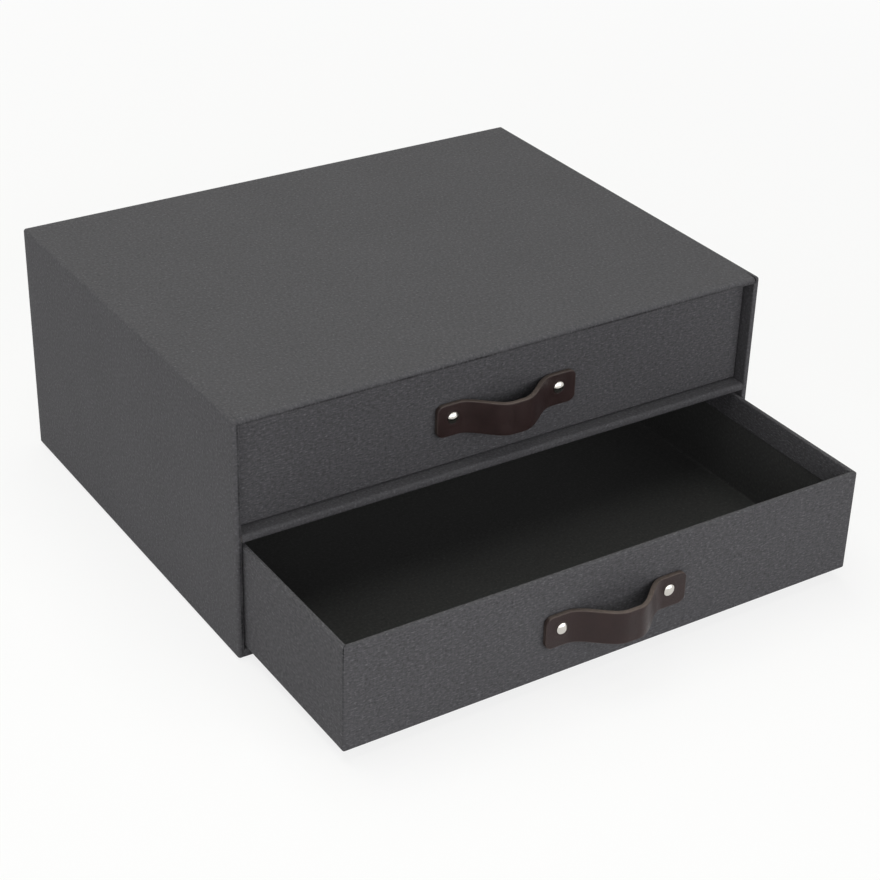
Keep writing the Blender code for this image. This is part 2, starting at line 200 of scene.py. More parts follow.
class HandleSettings(bpy.types.PropertyGroup):
    """The leather straps and the screws that hold them."""

    strap_thickness: FloatProperty(
        name="Strap thickness", description="Thickness of the leather", default=0.0028, unit="LENGTH"
    )
    crown_half_length: FloatProperty(
        name="Crown", description="Half the flat length at the strap's top", default=0.003, unit="LENGTH"
    )
    upper_lean: FloatProperty(
        name="Upper lean",
        description="The upper bow's distance from its screws' middle",
        default=-0.0019,
        unit="LENGTH",
    )
    lower_lean: FloatProperty(
        name="Lower lean",
        description="The lower bow's distance from its screws' middle",
        default=0.0009,
        unit="LENGTH",
    )
    corner_radius: FloatProperty(
        name="Corner", description="Radius of the strap's corners", default=0.0045, unit="LENGTH"
    )
    edge_radius: FloatProperty(
        name="Edge", description="Radius that the strap's edges are rubbed to", default=0.0007, unit="LENGTH"
    )
    head_rim: FloatProperty(
        name="Head rim",
        description="Height of the upright rim of a screw's head",
        default=0.0005,
        unit="LENGTH",
    )
    head_dome: FloatProperty(
        name="Head dome", description="Height of the dome above the rim", default=0.0014, unit="LENGTH"
    )
    leather_colour: FloatVectorProperty(
        name="Leather",
        description="Colour of the leather's face",
        default=(0.0192, 0.0094, 0.009),
        subtype="COLOR",
    )
    cut_edge_colour: FloatVectorProperty(
        name="Cut edge",
        description="Colour of the leather's edge",
        default=(0.088, 0.069, 0.061),
        subtype="COLOR",
    )
    nickel_colour: FloatVectorProperty(
        name="Nickel", description="Colour of the screws", default=(0.60, 0.575, 0.535), subtype="COLOR"
    )


class StageSettings(bpy.types.PropertyGroup):
    """The camera, the lamps and the floor."""

    camera_place: FloatVectorProperty(
        name="Camera",
        description="Where the camera stands",
        default=(-0.55336, -0.90632, 0.63337),
        subtype="TRANSLATION",
    )
    camera_turn: FloatVectorProperty(
        name="Turn",
        description="How the camera is turned",
        default=(0.833523, 0.476829, -0.149820, -0.235431),
        size=4,
        subtype="QUATERNION",
    )
    camera_lens: FloatProperty(
        name="Lens", description="The camera's focal length", default=84.34, unit="CAMERA"
    )
    world_light: FloatProperty(name="Room light", description="Strength of the room's light", default=0.03)
    top_light: FloatProperty(
        name="Top lamp", description="Power of the lamp overhead", default=12.9, unit="POWER"
    )
    back_light: FloatProperty(
        name="Back lamp", description="Power of the lamp above the back", default=11.6, unit="POWER"
    )
    left_light: FloatProperty(
        name="Left lamp", description="Power of the lamp at the left", default=3.9, unit="POWER"
    )
    side_light: FloatProperty(
        name="Side lamp", description="Power of the lamp at the left of the back", default=6.6, unit="POWER"
    )
    front_light: FloatProperty(
        name="Front lamp", description="Power of the wide lamp in front", default=22.6, unit="POWER"
    )
    floor_glow: FloatProperty(
        name="Floor glow",
        description="How far the floor is seen as plain white",
        default=0.8,
        subtype="FACTOR",
    )
    floor_colour: FloatVectorProperty(
        name="Floor", description="Colour of the floor", default=(0.9, 0.9, 0.9), subtype="COLOR"
    )
    overhead_colour: FloatVectorProperty(
        name="Overhead",
        description="Colour of the two lamps above",
        default=(0.985, 1.0, 0.925),
        subtype="COLOR",
    )


def papers():
    return bpy.context.scene.file_box_papers


def handles():
    return bpy.context.scene.file_box_handles


def stage_settings():
    return bpy.context.scene.file_box_stage


# Shader maths


class Link:
    """A node's output that can stand in a sum: each operator adds a Math node."""

    def __init__(self, nodes, socket):
        self.nodes = nodes
        self.socket = socket

    def __add__(self, other):
        return self.nodes.maths("ADD", self, other)

    def __sub__(self, other):
        return self.nodes.maths("SUBTRACT", self, other)

    def __rsub__(self, other):
        return self.nodes.maths("SUBTRACT", other, self)

    def __mul__(self, other):
        return self.nodes.maths("MULTIPLY", self, other)

    __radd__ = __add__
    __rmul__ = __mul__


class Nodes:
    """A node tree that is being put together."""

    def __init__(self, tree):
        self.tree = tree

    def feed(self, node, sockets):
        for name, value in sockets.items():
            if isinstance(value, Link):
                self.tree.links.new(value.socket, node.inputs[name])
            else:
                node.inputs[name].default_value = value

    def node(self, kind, settings=None, sockets=None, output=0):
        """Adds a node of that kind: its settings first, then the values or links of its sockets."""
        made = self.tree.nodes.new(kind)
        for name, value in (settings or {}).items():
            if name == "stops":
                ramp = made.color_ramp.elements
                while len(ramp) < len(value):
                    ramp.new(1.0)
                for element, (place, shade) in zip(ramp, value):
                    element.position, element.color = place, (shade, shade, shade, 1.0)
            else:
                setattr(made, name, value)
        self.feed(made, sockets or {})
        return Link(self, made.outputs[output])

    def own_place(self):
        """Where the point is on its own object."""
        return self.node("ShaderNodeTexCoord", output=3)

    def place(self, name):
        """A vector that the mesh carries."""
        return self.node("ShaderNodeAttribute", {"attribute_name": name}, output=1)

    def mark(self, name):
        """A number that the mesh carries."""
        return self.node("ShaderNodeAttribute", {"attribute_name": name}, output=2)

    def scaled(self, vector, scale):
        return self.node("ShaderNodeVectorMath", {"operation": "MULTIPLY"}, {0: vector, 1: scale})

    def noise(self, vector, detail, scale=1.0):
        sockets = {"Vector": vector, "Scale": scale, "Detail": detail, "Roughness": 0.5}
        return self.node("ShaderNodeTexNoise", None, sockets)

    def maths(self, operation, *values):
        return self.node("ShaderNodeMath", {"operation": operation}, dict(enumerate(values)))

    def ramp(self, value, *stops):
        return self.node("ShaderNodeValToRGB", {"stops": stops}, {0: value})

    def mixed(self, share, first, second):
        """One colour going over to another by share."""
        return self.node("ShaderNodeMix", {"data_type": "RGBA"}, {0: share, 6: first, 7: second}, output=2)

    def toned(self, share, colour, dark, light):
        """The colour going over from its dark shade to its light one by share."""
        return self.mixed(share, shade(colour, dark), shade(colour, light))

    def seen(self):
        """1 for the rays that show the background as it is, and 0 for those that light the box."""
        return sum(self.node("ShaderNodeLightPath", output=kind) for kind in SEEN_RAYS)


class Finish(Nodes):
    """A procedural material round the shader that it begins with."""

    def __init__(self, name, **constants):
        self.material = bpy.data.materials.new(name)
        self.material.use_nodes = True
        super().__init__(self.material.node_tree)
        self.shader = self.tree.nodes["Principled BSDF"]
        self.feed(self.shader, {key.replace("_", " "): value for key, value in constants.items()})

    def finished(self, colour, roughness, relief, distance):
        """The material, once its shader has what varies over the surface."""
        bump = self.node("ShaderNodeBump", None, {"Height": relief, "Distance": distance, "Strength": 1.0})
        self.feed(self.shader, {"Base Color": colour, "Roughness": roughness, "Normal": bump})
        return self.material


def shade(colour, share):
    """The colour made lighter or darker."""
    return (*(share * part for part in colour), 1.0)


def paper_finish(name, colour, contrast, roughness, relief, strand):
    """A dyed paper embossed like canvas: strands mostly one way, light flecks, dark pits and soft clouds."""
    look = Finish(name, Specular_IOR_Level=0.12)
    place = look.place("flat_place")

    def strands(waves, cross_waves, layer):
        """Noise drawn out one way, each layer of it at a height of its own."""
        scale = (waves / papers().thread, cross_waves / papers().thread, layer)
        return look.noise(look.scaled(place, scale), detail=1.0)

    along, across = strand
    main, cross = strands(along, across, 1.0), strands(across, along, 5.0)
    weave = look.maths("MAXIMUM", main, cross) * 0.4 + main * 0.45 + cross * 0.15
    fleck = strands(1.25 * along, 1.25 * across, 9.0)
    light = look.ramp(fleck, (0.54, 0.0), (0.80, 1.0))
    clouds = look.noise(place, scale=24.0, detail=3.0)
    rubs = look.noise(place, scale=260.0, detail=3.0)
    # Folds come lighter in rubbed specks, where the paper is worn
    fold_line = look.mark("crease") * look.ramp(rubs, (0.42, 0.0), (0.72, 1.0))
    tone = (weave - WEAVE_MEAN) * (1.35 * contrast) + (light - FLECK_MEAN) * (0.85 * contrast)
    # The cut mark darkens cut edges, and also paints shade along the rim's and the drawer corner's pressed
    # lines
    tone = tone + (clouds - 0.5) * 0.07 + fold_line * 0.1 - look.mark("cut") * 0.5 + 0.5
    dyed = look.toned(look.ramp(tone, (0.0, 0.0), (1.0, 1.0)), colour, 0.1, 1.9)
    return look.finished(dyed, (fleck - 0.5) * 0.2 + roughness, weave + light * 0.3, relief)


def board_finish(name, colour):
    """Grey recycled board with pulp fibres."""
    look = Finish(name, Specular_IOR_Level=0.2)
    place = look.own_place()
    pulp = look.noise(place, scale=900.0, detail=4.0)
    fibres = look.noise(look.scaled(place, (250, 1200, 900)), detail=2.0)
    dyed = look.toned(pulp * 0.6 + fibres * 0.4, colour, 0.75, 1.25)
    return look.finished(dyed, pulp * 0.15 + 0.8, pulp + fibres, 0.00004)


def leather_finish(name, colour, edge_colour):
    """Satin leather: fine pores and creases on the face, a lighter fibrous cut edge, a napped back."""
    look = Finish(name, Specular_IOR_Level=0.25)
    place = look.own_place()
    cells = {"feature": "DISTANCE_TO_EDGE"}
    pores = look.node("ShaderNodeTexVoronoi", cells, {"Vector": place, "Scale": 1900.0})
    pebbles = look.ramp(pores, (0.0, 0.0), (0.16, 1.0))
    clouds = look.noise(place, scale=130.0, detail=4.0)
    creases = look.noise(look.scaled(place, (900, 500, 160)), detail=3.0)
    fibres = look.noise(look.scaled(place, (420, 420, 2600)), detail=4.0)
    nap = look.noise(place, scale=2600.0, detail=3.0)
    edge, back = look.mark("cut"), look.mark("back")
    face = look.toned(clouds * 0.7 + pebbles * 0.3, colour, 0.55, 1.45)
    outside = look.mixed(edge, face, look.toned(fibres, edge_colour, 0.55, 1.45))
    dyed = look.mixed(back, outside, look.toned(nap, edge_colour, 0.45, 1.05))
    roughness = (clouds - 0.5) * 0.25 + edge * 0.25 + back * 0.4 + 0.42
    relief = pebbles * (1 - edge) * 0.5 + creases * 0.5 + fibres * edge + nap * back
    return look.finished(dyed, roughness, relief, 0.00006)


def nickel_finish(name, colour):
    """Bright nickel plate with a faint turned grain and fingerprints."""
    look = Finish(name, Metallic=1.0)
    place = look.own_place()
    haze = look.noise(place, scale=420.0, detail=3.0)
    brushing = look.noise(look.scaled(place, (5200, 900, 5200)), detail=2.0)
    roughness = haze * 0.1 + brushing * 0.05 + 0.08
    return look.finished(look.toned(haze, colour, 0.9, 1.08), roughness, brushing, 0.000002)


def kept(maker, name, **looks):
    """The material of that name, made the first time it is asked for."""
    return bpy.data.materials.get(name) or maker(name, **looks)


def covering(part="case"):
    """The covering paper: the drawers' is cut the other way of the grain and more boldly embossed."""
    contrast, strand = (0.38, CASE_STRAND) if part == "case" else (0.51, DRAWER_STRAND)
    looks = {"contrast": contrast, "roughness": 0.78, "relief": 0.0004, "strand": strand}
    return kept(paper_finish, f"embossed_grey_{part}_paper", colour=papers().covering_colour, **looks)


def lining():
    looks = {"contrast": 0.3, "roughness": 0.62, "relief": 0.00003, "strand": CASE_STRAND}
    return kept(paper_finish, "smooth_black_paper", colour=papers().lining_colour, **looks)


# Mesh making


class Outline:
    """A rectangle with round corners, as points that keep their count and places whatever its size."""

    def __init__(self, stops_a, stops_b, first_side=0):
        self.stops = (stops_a, stops_b)
        self.first_side = first_side

    @staticmethod
    def fitted(stops, low, high):
        """The stops, with those outside low and high crowded inside the ends in their order."""
        last = len(stops)
        return [
            min(max(stop, low + STOP_GAP * (index + 1)), high - STOP_GAP * (last - index))
            for index, stop in enumerate(stops)
        ]

    def points(self, rectangle, radius):
        """Each point as (a, b, outward a, outward b), side by side from the first one."""
        low_a, low_b, high_a, high_b = rectangle
        run_a = self.fitted(self.stops[0], low_a + radius, high_a - radius)
        run_b = self.fitted(self.stops[1], low_b + radius, high_b - radius)
        sides = (
            [(a, low_b, 0.0, -1.0) for a in run_a],
            [(high_a, b, 1.0, 0.0) for b in run_b],
            [(a, high_b, 0.0, 1.0) for a in reversed(run_a)],
            [(low_a, b, -1.0, 0.0) for b in reversed(run_b)],
        )
        centres = (
            (high_a - radius, low_b + radius),
            (high_a - radius, high_b - radius),
            (low_a + radius, high_b - radius),
            (low_a + radius, low_b + radius),
        )
        found = []
        for turn in range(4):
            side = (self.first_side + turn) % 4
            found += sides[side]
            a, b = centres[side]
            for step in range(FOLD_STEPS + 1):
                angle = math.pi / 2 * (side - 1 + step / FOLD_STEPS)
                out_a, out_b = math.cos(angle), math.sin(angle)
                found.append((a + radius * out_a, b + radius * out_b, out_a, out_b))
        return found

    def side_start(self, side):
        """Where a side's first point stands in the list."""
        sides = ((self.first_side + turn) % 4 for turn in range((side - self.first_side) % 4))
        return sum(len(self.stops[each % 2]) + FOLD_STEPS + 1 for each in sides)

    def stop_index(self, side, number):
        """Where a side's stop stands in the list, counted from the side's low end."""
        last = len(self.stops[side % 2]) - 1
        return self.side_start(side) + (number if side < 2 else last - number)

    def corner_index(self, side):
        """Where the middle of the corner after that side stands in the list."""
        return self.side_start(side) + len(self.stops[side % 2]) + FOLD_STEPS // 2


class Skin:
    """A mesh through rings of equal counts, whose corners know their place on the flat paper."""

    def __init__(self):
        self.rings = []
        self.values = []
        self.around = None

    def lay_round(self, points):
        """Measures the way round the ring that the paper's length is counted on."""
        way = [0.0]
        for first, second in zip(points, points[1:] + points[:1]):
            way.append(way[-1] + math.dist(first[:2], second[:2]))
        self.around = way

    def ring(self, points, travel, crease=0.0, cuts=None):
        """Adds a ring of points at that distance along the paper, or at a distance for each."""
        cuts = cuts or {}
        travels = travel if isinstance(travel, list) else [travel] * len(points)
        self.values.append((travels, crease, [cuts.get(index, 0.0) for index in range(len(points))]))
        self.rings.append(points)

    def build(self, name, material, loop=False, seed=0.0):
        """Makes the object. A loop joins the last ring to the first, and otherwise both ends are closed."""
        count = len(self.rings[0])
        rows = range(len(self.rings))
        faces, places, creases, cuts = [], [], [], []

        def add_corner(row, column, place):
            _, crease, marks = self.values[row]
            places.extend((*place, seed))
            creases.append(crease)
            cuts.append(marks[column])

        for first, second in zip(rows, [*rows[1:], 0] if loop else rows[1:]):
            for index in range(count):
                after = (index + 1) % count
                corners = ((first, index), (first, after), (second, after), (second, index))
                faces.append([row * count + column for row, column in corners])
                for (row, column), way in zip(corners, (index, index + 1, index + 1, index)):
                    add_corner(row, column, (self.around[way], self.values[row][0][column]))
        for row, step in () if loop else ((rows[0], -1), (rows[-1], 1)):
            columns = range(count)[::step]
            faces.append([row * count + column for column in columns])
            for column in columns:
                add_corner(row, column, self.flat(row, column))
        mesh = mesh_of(name, [point for ring in self.rings for point in ring], faces)
        for label, kind, values, key in (
            ("flat_place", "FLOAT_VECTOR", places, "vector"),
            ("crease", "FLOAT", creases, "value"),
            ("cut", "FLOAT", cuts, "value"),
        ):
            mesh.attributes.new(label, kind, "CORNER").data.foreach_set(key, values)
        return object_with(name, mesh, material)

    def flat(self, row, column):
        """A cap's point on its own flat sheet: the two axes that the ring spreads over."""
        ring = self.rings[row]
        spans = [max(p[axis] for p in ring) - min(p[axis] for p in ring) for axis in range(3)]
        wide = sorted(sorted(range(3), key=lambda axis: spans[axis])[1:])
        return [ring[column][axis] for axis in wide]


def mesh_of(name, vertices, faces):
    mesh = bpy.data.meshes.new(name)
    mesh.from_pydata(vertices, [], faces)
    return mesh


def placed(name, data):
    """A new object in the scene."""
    made = bpy.data.objects.new(name, data)
    bpy.context.scene.collection.objects.link(made)
    return made


def object_with(name, mesh, material, smooth=SOFT_ANGLE):
    """A named object from a finished mesh, its faces pointing out."""
    mesh.validate()
    mesh.materials.append(material)
    made = placed(name, mesh)
    if signed_volume(mesh) < 0:
        mesh.flip_normals()
    mesh.shade_smooth()
    mesh.set_sharp_from_angle(angle=smooth)
    return made


def signed_volume(mesh):
    mesh.calc_loop_triangles()
    corners = mesh.vertices
    total = 0.0
    for triangle in mesh.loop_triangles:
        a, b, c = (corners[index].co for index in triangle.vertices)
        total += a.dot(b.cross(c))
    return total


def wave(place, scale=1.0, shift=(0.0, 0.0, 0.0)):
    """Smooth noise from about -1 to 1."""
    return noise.noise(Vector(place) * scale + Vector(shift))


def grown(rectangle, amount):
    low_a, low_b, high_a, high_b = rectangle
    return (low_a - amount, low_b - amount, high_a + amount, high_b + amount)


def spread(low, high, pitch):
    """Evenly spaced numbers from low to high, both ends included."""
    steps = max(1, round(abs(high - low) / pitch))
    return [low + (high - low) * step / steps for step in range(steps + 1)]


def quarter(steps=FOLD_STEPS):
    """Points round a quarter of a circle, as (cosine, sine)."""
    turns = [math.pi / 2 * step / steps for step in range(steps + 1)]
    return [(math.cos(turn), math.sin(turn)) for turn in turns]


def ride_as(piece, body, slot, *nodes):
    """Puts the piece on its body in the place of those CAD nodes."""
    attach(piece, body)
    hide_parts(*nodes)
    return piece


class Wrap:
    """A covering paper: from its flange under the foot, up the walls, over the rim and inside."""

    def __init__(self, outer, inner, foot, rim, turn_in, outline, place, part):
        self.outer, self.inner, self.foot, self.rim, self.part = outer, inner, foot, rim, part
        self.turn_in = turn_in
        self.outline, self.place = outline, place
        self.fold = papers().outer_fold if part == "case" else papers().drawer_fold
        self.up = math.copysign(1.0, rim - foot)
        self.skin = Skin()
        self.skin.lay_round(outline.points(outer, self.fold))
        self.travel = 0.0
        self.last = None
        self.grooves = {}

    def groove(self, index, depth, parts, reach=math.inf, fade=math.inf, mark=1.0):
        """Presses a line into the paper at that point of the rings in those parts, no further in than reach.
        It fades out over fade from the rim.
        """
        self.grooves[index] = (depth, parts, reach, fade, mark)

    def ring(self, rectangle, radius, level, out, rise, part, crease=0.0, press=0.0):
        """Adds a ring whose paper faces out from the walls by out and towards the rim by rise.
        Press sinks it along its top and left, where the line is also darkened with painted shade.
        """
        inset = abs(rectangle[0] - self.outer[0])
        if self.last is not None and part != "hidden":
            self.travel += math.dist((inset, level), self.last)
        self.last = (inset, level)
        deeper = abs(rectangle[1] - self.outer[1]) - inset
        ripple = TURN_IN_WAVE if part == "inside_edge" else 0.0
        points, travels, cuts = [], [], {}
        for index, (a, b, out_a, out_b) in enumerate(self.outline.points(rectangle, radius)):
            shaded_press = press if max(out_b, -out_a) > 0.5 else 0.0
            depth = shaded_press + (self.dent(a, b, level) if part == "wall" else 0.0)
            # The pressed line on the top and left is darkened with painted shade
            if shaded_press:
                cuts[index] = RIM_SHADE * (1 + wave((a, b, 0.5), scale=70))
            sunk, parts, reach, fade, mark = self.grooves.get(index, (0.0, (), 0.0, 1.0, 0.0))
            share = 1.0 - abs(level - self.rim) / fade
            if part in parts and inset <= reach and share > 0:
                depth += sunk * share
                cuts[index] = mark * share
            at = level - self.up * rise * depth + ripple * wave((a, b, level), scale=60)
            points.append(self.place(a - out * out_a * depth, b - out * out_b * depth, at))
            travels.append(self.travel + deeper * min(out_b, 0.0) ** 2)
        if part == "inside_edge":
            cuts = dict.fromkeys(range(len(points)), TURN_IN_MARK)
        self.skin.ring(points, travels, crease, cuts)

    def dent(self, a, b, level):
        """How far the wall is pressed in where the board beneath it is a little hollow."""
        low_a, low_b, high_a, high_b = self.outer
        edge = min(abs(level - self.foot), abs(level - self.rim))
        corner = max(min(abs(a - low_a), abs(a - high_a)), min(abs(b - low_b), abs(b - high_b)))
        fade = min(edge, corner, HOLLOW_FADE) / HOLLOW_FADE
        return WALL_HOLLOW * fade * (0.5 + 0.5 * wave((a, b, level), scale=14))

    def build(self, name, seed):
        look = papers()
        paper, fold, inner_fold = look.thickness, self.fold, look.inner_fold
        corner = min(inner_fold, TIGHT_CORNER)
        up, foot, rim = self.up, self.foot, self.rim

        def outside(inset, level, out, rise, part, crease=0.0):
            radius = max(fold - inset, corner)
            self.ring(grown(self.outer, -inset), radius, level, out, rise, part, crease)

        def inside(outset, level, out, rise, part, crease=0.0, press=0.0):
            self.ring(grown(self.inner, outset), corner + outset, level, out, rise, part, crease, press)

        outside(look.flange, foot, 0, -1, "flange")
        outside(look.flange / 2, foot, 0, -1, "flange")
        for level, out in quarter():
            crease = 1.0 - abs(2 * out - 1)
            outside(fold * (1 - out), foot + up * fold * (1 - level), out, -level, "foot_fold", crease)
        for level in spread(foot + up * fold, rim - up * fold, WALL_PITCH)[1:-1]:
            outside(0, level, 1, 0, "wall")
        for out, rise in quarter():
            crease = 1.0 - abs(2 * rise - 1)
            outside(fold * (1 - out), rim - up * fold * (1 - rise), out, rise, "rim_fold", crease)
        width = abs(self.inner[0] - self.outer[0])
        line = RIM_LINE if self.part == "case" else 0.0
        for share, press in zip(RIM_SHARES, (0.0, line, line)) if line else ():
            inset = fold + share * (width - inner_fold - fold)
            radius = max(fold - inset, corner)
            self.ring(grown(self.outer, -inset), radius, rim, 0, 1, "rim", 0.0, press)
        for rise, out in quarter():
            crease, press = 1.0 - abs(2 * out - 1), line if rise > 0.8 else 0.0
            level = rim - up * inner_fold * (1 - rise)
            inside(inner_fold * (1 - out), level, -out, rise, "rim", crease, press)
        for level in spread(rim - up * inner_fold, rim - up * self.turn_in, WALL_PITCH)[1:]:
            inside(0, level, -1, 0, "inside")
        inside(0, rim - up * self.turn_in, -1, 0, "inside_edge")
        inside(paper, rim - up * self.turn_in, 0, -1, "inside_edge")
        tight, under = fold - paper, inner_fold - paper
        for rise, out in reversed(quarter(HIDDEN_STEPS)):
            inside(paper + under * (1 - out), rim - up * (paper + under * (1 - rise)), 0, 0, "hidden")
        for out, rise in reversed(quarter(HIDDEN_STEPS)):
            outside(paper + tight * (1 - out), rim - up * (paper + tight * (1 - rise)), 0, 0, "hidden")
        for level, out in reversed(quarter(HIDDEN_STEPS)):
            outside(paper + tight * (1 - out), foot + up * (paper + tight * (1 - level)), 0, 0, "hidden")
        outside(look.flange, foot + up * paper, 0, 0, "hidden")
        return self.skin.build(name, covering(self.part), loop=True, seed=seed)


def tray(name, inner, floor, rim, outline, place, seed):
    """A lining pressed into a tray: its walls stand outside the inner rectangle, its floor below."""
    up = math.copysign(1.0, rim - floor)
    paper = papers().thickness
    behind, thin = paper + LINING_GAP, paper / 2
    skin = Skin()
    skin.lay_round(outline.points(inner, LINING_FOLD))
    travel = 0.0

    def ring(rectangle, radius, level, step, crease=0.0):
        nonlocal travel
        travel += step
        points = [place(a, b, level) for a, b, _, _ in outline.points(rectangle, radius)]
        skin.ring(points, travel, crease)

    outer, face, radius = grown(inner, behind + thin), grown(inner, behind), LINING_FOLD + behind
    for level in (floor, rim):
        ring(outer, radius + thin, level, 0)
    for level in spread(rim, floor + up * (paper + LINING_FOLD), WALL_PITCH):
        ring(face, radius, level, WALL_PITCH)
    for out, rise in quarter(LINING_STEPS)[1:]:
        inset = LINING_FOLD * (1 - out)
        level = floor + up * (paper + LINING_FOLD * (1 - rise))
        ring(grown(face, -inset), max(radius - inset, LINING_CORNER), level, LINING_FOLD / LINING_STEPS, rise)
    for inset in LINING_INSETS:
        ring(grown(face, -inset), LINING_CORNER, floor + up * paper, inset / 2)
    return skin.build(name, lining(), seed=seed)


def flat_sheet(name, rectangle, back, front, dip, outline, place, material, seed):
    """A sheet glued over flanges: inside their step, its middle dips from its face towards the board."""
    sink, step = math.copysign(dip, back - front), SHEET_STEP
    skin = Skin()
    skin.lay_round(outline.points(rectangle, SHEET_CORNER))
    profile = (
        (step + 0.01, back + sink),
        (step + 0.0025, back + sink),
        (step, back),
        (0.0, back),
        (0.0, front),
        (0.0008, front),
        (step, front),
        (step + 0.001, front + sink * 0.3),
        (step + 0.0025, front + sink),
        (step + 0.01, front + sink),
    )
    for inset, level in profile:
        points = outline.points(grown(rectangle, -inset), SHEET_CORNER)
        edge = dict.fromkeys(range(len(points)), SHEET_MARK) if inset == 0.0 else None
        skin.ring([place(a, b, level) for a, b, _, _ in points], inset, cuts=edge)
    return skin.build(name, material, seed=seed)


# Where things stand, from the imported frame


def rectangle_of(node, first, second, shrink=0.0):
    low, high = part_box(node)
    return grown((low[first], low[second], high[first], high[second]), -shrink)


def upright(a, b, level):
    return (a, b, level)


def lying(a, b, level):
    return (a, level, b)


def even_stops(low, high, extra=()):
    """Stops along a side, a little inside its ends, with any extra ones among them."""
    inner = spread(low + SIDE_MARGIN, high - SIDE_MARGIN, WALL_PITCH)
    clear = [stop for stop in inner if all(abs(stop - other) > WALL_PITCH / 4 for other in extra)]
    return sorted([*clear, *extra])


def plain_outline(rectangle):
    low_a, low_b, high_a, high_b = rectangle
    return Outline(even_stops(low_a, high_a), even_stops(low_b, high_b))


class FILEBOX_OT_case_covering(bpy.types.Operator):
    """Wraps the case in its covering paper, slit at the corners of the mouth."""

    bl_idname = "file_box.case_covering"
    bl_label = "Case covering"

    def execute(self, context):
        look = papers()
        low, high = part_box("case_covering_paper")
        outer = rectangle_of("case_covering_paper", 0, 2)
        mouth = rectangle_of("case_lining_paper", 0, 2, look.thickness)
        slit, half = mouth[2] + SLIT_STANDOFF, look.slit * 0.8
        stops = [centre + share * half for centre in (-slit, slit) for share in (-1, -0.5, 0, 0.5, 1)]
        across = even_stops(outer[0], outer[2], stops)
        outline = Outline(across, even_stops(outer[1] + SIDE_MARGIN, outer[3]))
        wrap = Wrap(outer, mouth, high.y, low.y, look.case_turn_in, outline, lying, "case")
        rim_width = outer[2] - mouth[2]
        slits = {(side, centre): FAINT_SLIT for side in (0, 2) for centre in (-slit, slit)}
        slits[2, slit] = 1.0
        for (side, centre), mark in slits.items():
            for share in (-0.5, 0, 0.5):
                index = outline.stop_index(side, across.index(centre + share * half))
                wrap.groove(index, SLIT_DEPTH * mark, ("rim_fold", "rim"), reach=rim_width, mark=mark)
        wrap.groove(outline.corner_index(1), SLIT_DEPTH, ("rim",))
        ride_as(wrap.build("case_covering", 1.0), "case", "covering_paper", "case_covering_paper")
        return {"FINISHED"}


class FILEBOX_OT_shelf_covering(bpy.types.Operator):
    """Folds the covering paper round the shelf's front edge."""

    bl_idname = "file_box.shelf_covering"
    bl_label = "Shelf covering"

    def execute(self, context):
        look = papers()
        low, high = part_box("case_shelf_paper")
        fold, paper, tight = look.outer_fold, look.thickness, look.outer_fold - look.thickness
        front, under, over = low.y + fold, low.z + fold, high.z - fold
        turns = [(cosine, sine, 1 - abs(2 * sine - 1)) for cosine, sine in quarter()]
        section = [(y, high.z, 0.0) for y in spread(high.y, front, WALL_PITCH)[:-1]]
        section += [(front - fold * s, over + fold * c, crease) for c, s, crease in turns]
        section += [(front - fold * c, under - fold * s, crease) for c, s, crease in turns]
        section += [(y, low.z, 0.0) for y in spread(front, high.y, WALL_PITCH)[1:]]
        section += [(high.y, low.z + paper, 0.0), (front, low.z + paper, 0.0)]
        section += [(front - tight * c, under - tight * s, 0.0) for s, c in quarter(HIDDEN_STEPS)[1:]]
        section += [(front - tight * c, over + tight * s, 0.0) for c, s in quarter(HIDDEN_STEPS)]
        section += [(high.y, high.z - paper, 0.0)]
        skin = Skin()
        skin.lay_round([(y, z) for y, z, _ in section])
        for x in spread(low.x, high.x, WALL_PITCH):
            soft = [abs(SHELF_WAVE * crease * wave((x * 45, z * 60, 3.0))) for _, z, crease in section]
            points = [(x, y + back, z) for (y, z, _), back in zip(section, soft)]
            skin.ring(points, x - low.x)
        piece = skin.build("shelf_covering", covering(), seed=2.0)
        ride_as(piece, "case", "covering_paper", "case_shelf_paper")
        return {"FINISHED"}


class FILEBOX_OT_flat_sheets(bpy.types.Operator):
    """Glues the sheets over the case's underside and back and under each drawer."""

    bl_idname = "file_box.flat_sheets"
    bl_label = "Base and back sheets"

    def execute(self, context):
        sheets = [("case_base", "case", 1, 0.0), ("case_back", "case", 2, SHEET_DIP)]
        sheets += [(drawer + "_base", drawer, 1, SHEET_DIP) for drawer in DRAWERS]
        for number, (name, body, second, dip) in enumerate(sheets):
            low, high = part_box(name + "_sheet")
            rectangle = rectangle_of(name + "_sheet", 0, second)
            levels, place = ((high.z, low.z), upright) if second == 1 else ((low.y, high.y), lying)
            outline = plain_outline(rectangle)
            piece = flat_sheet(name, rectangle, *levels, dip, outline, place, covering(), 3.0 + number)
            ride_as(piece, body, "covering_paper", name + "_sheet")
        return {"FINISHED"}


class FILEBOX_OT_linings(bpy.types.Operator):
    """Lines the bays of the case and both drawers."""

    bl_idname = "file_box.linings"
    bl_label = "Linings"

    def execute(self, context):
        for number, body in enumerate(("case", *DRAWERS)):
            node = body + "_lining_paper"
            low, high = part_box(node)
            second, levels, place = 1, (low.z, high.z + LINING_TUCK), upright
            if body == "case":
                second, levels, place = 2, (high.y, low.y - LINING_TUCK), lying
            inner = rectangle_of(node, 0, second, papers().thickness)
            piece = tray(body + "_lining", inner, *levels, plain_outline(inner), place, 10.0 + number)
            ride_as(piece, body, "lining_paper", node)
        return {"FINISHED"}


